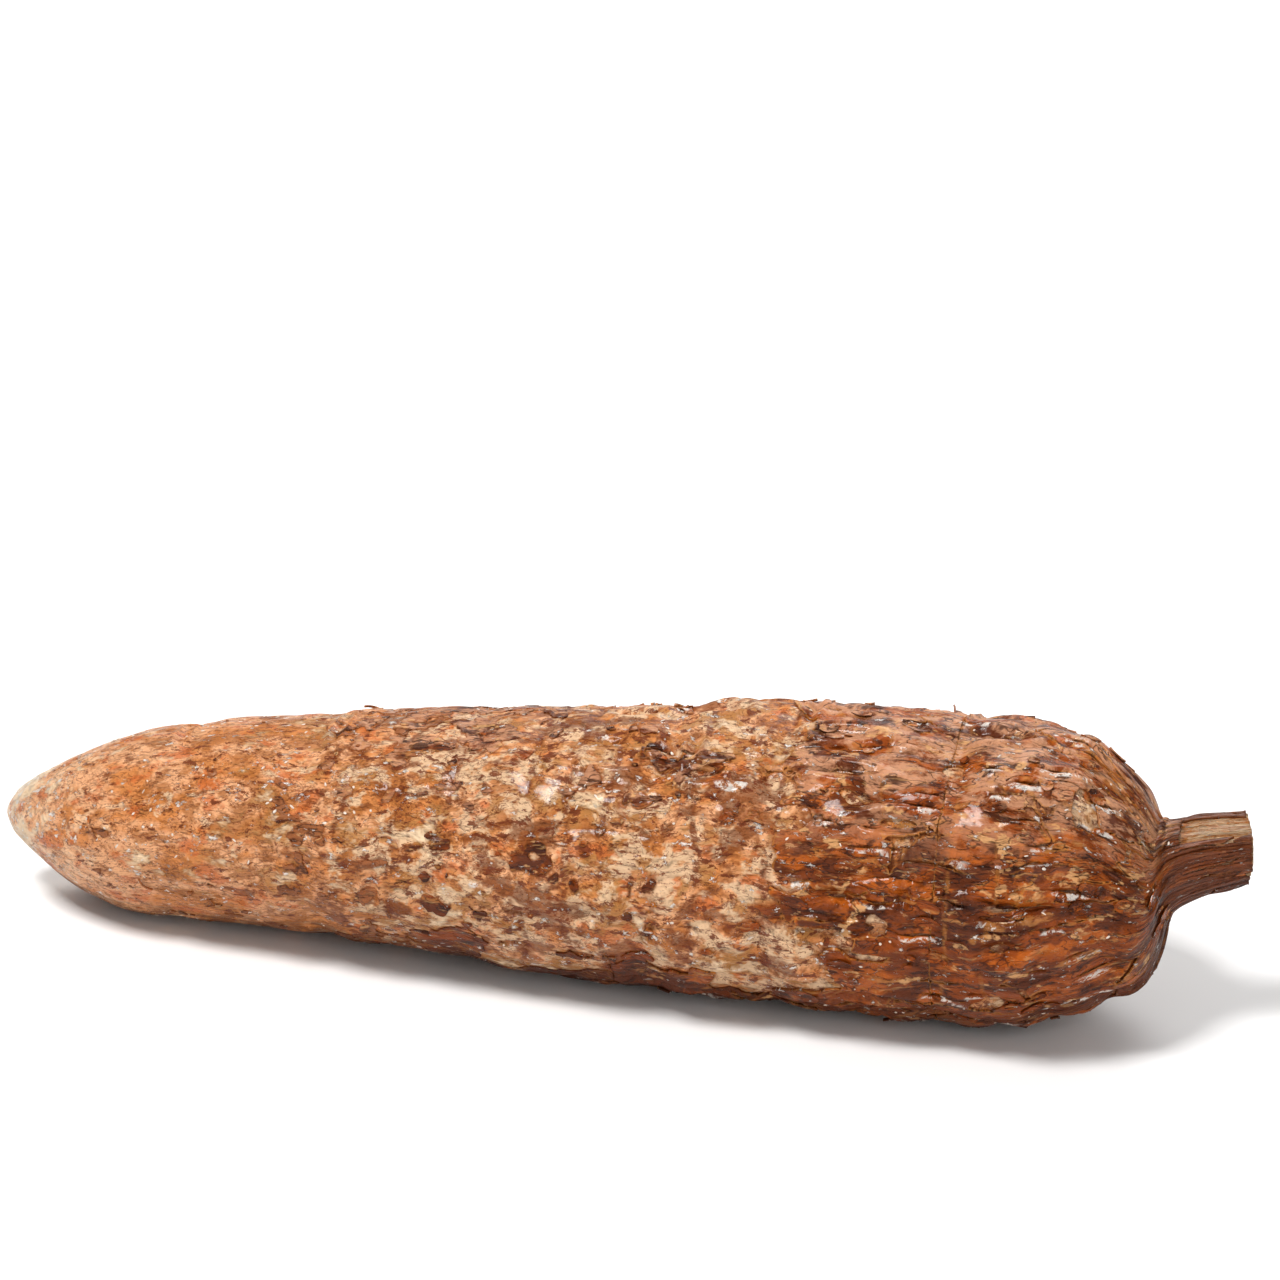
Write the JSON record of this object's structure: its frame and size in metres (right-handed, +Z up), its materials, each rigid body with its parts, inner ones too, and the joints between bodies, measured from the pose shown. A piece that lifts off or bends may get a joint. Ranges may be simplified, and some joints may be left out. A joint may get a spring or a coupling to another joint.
{
  "type": "cassava root",
  "caption": "Whole cassava root lying on its side: long taper from a blunt shoulder with a cut woody neck to a rounded tip, with rough bark.",
  "frame": {"origin": "middle of the root's box, on the surface it rests on", "axes": "+X along the root from its tip to the cut neck, +Z up as it lies"},
  "size_m": [0.3, 0.0688, 0.0699],
  "materials": {
    "bark": "rough, waxed bark, brown where whole and orange-tan where it has flaked off"
  },
  "bodies": {
    "root": {"cassava_root": "bark"}
  },
  "joints": []
}
